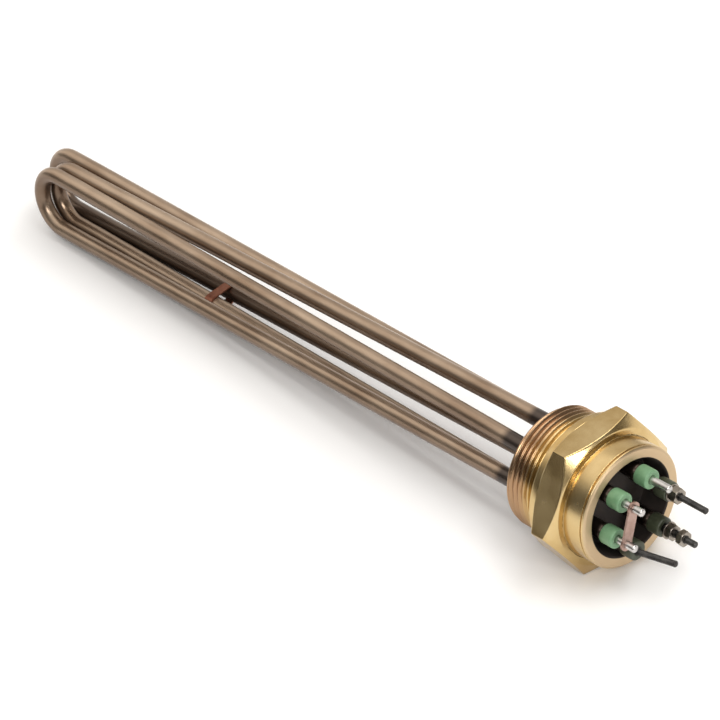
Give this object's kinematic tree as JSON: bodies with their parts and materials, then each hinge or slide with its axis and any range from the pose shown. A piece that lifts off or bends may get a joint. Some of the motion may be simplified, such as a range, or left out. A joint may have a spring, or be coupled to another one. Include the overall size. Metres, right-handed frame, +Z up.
{
  "type": "screw-in immersion heater",
  "caption": "Screw-in immersion heater: hexagonal brass head with a pipe thread, slim parallel hairpin tubes behind it, and terminal pins in insulating bushes in its cup.",
  "frame": {"origin": "centre of the seating face, where the thread meets the flange, on the heater axis", "axes": "+X along the heater axis towards the terminals, +Z up, square to two flats of the hexagon"},
  "size_m": [0.3662, 0.0636, 0.055],
  "materials": {
    "brass": "turned and milled, slightly stained",
    "copper_tube": "browned copper tube with a satin sheen",
    "oxide_filling": "packed powder, hidden",
    "resistance_wire": "wound wire, hidden",
    "bright_pin": "bright pin",
    "dark_stud": "blackened steel",
    "bush": "green insulating bush",
    "dark_bush": "darkened olive bush",
    "plated_steel": "dull plated steel",
    "link": "dull pinkish copper strip",
    "braze": "pale braze filler",
    "strap": "reddish copper band"
  },
  "bodies": {
    "root": {"braze_fillets": "braze", "bush_front_lower": "bush", "bush_front_upper": "bush", "bush_middle_lower": "dark_bush", "bush_middle_upper": "bush", "bush_rear_lower": "dark_bush", "bush_rear_upper": "dark_bush", "coil_front": "resistance_wire", "coil_middle": "resistance_wire", "coil_rear": "resistance_wire", "filling_front": "oxide_filling", "filling_middle": "oxide_filling", "filling_rear": "oxide_filling", "head": "brass", "link_strip": "link", "nut_rear_lower_inner": "plated_steel", "nut_rear_lower_outer": "plated_steel", "nut_rear_upper": "plated_steel", "pin_front_lower": "bright_pin", "pin_front_upper": "bright_pin", "pin_middle_lower": "dark_stud", "pin_middle_upper": "bright_pin", "pin_rear_lower": "dark_stud", "pin_rear_upper": "dark_stud", "sheath_front": "copper_tube", "sheath_middle": "copper_tube", "sheath_rear": "copper_tube", "tie_strap": "strap", "washer_rear_lower": "plated_steel", "washer_rear_upper": "plated_steel"}
  },
  "joints": []
}
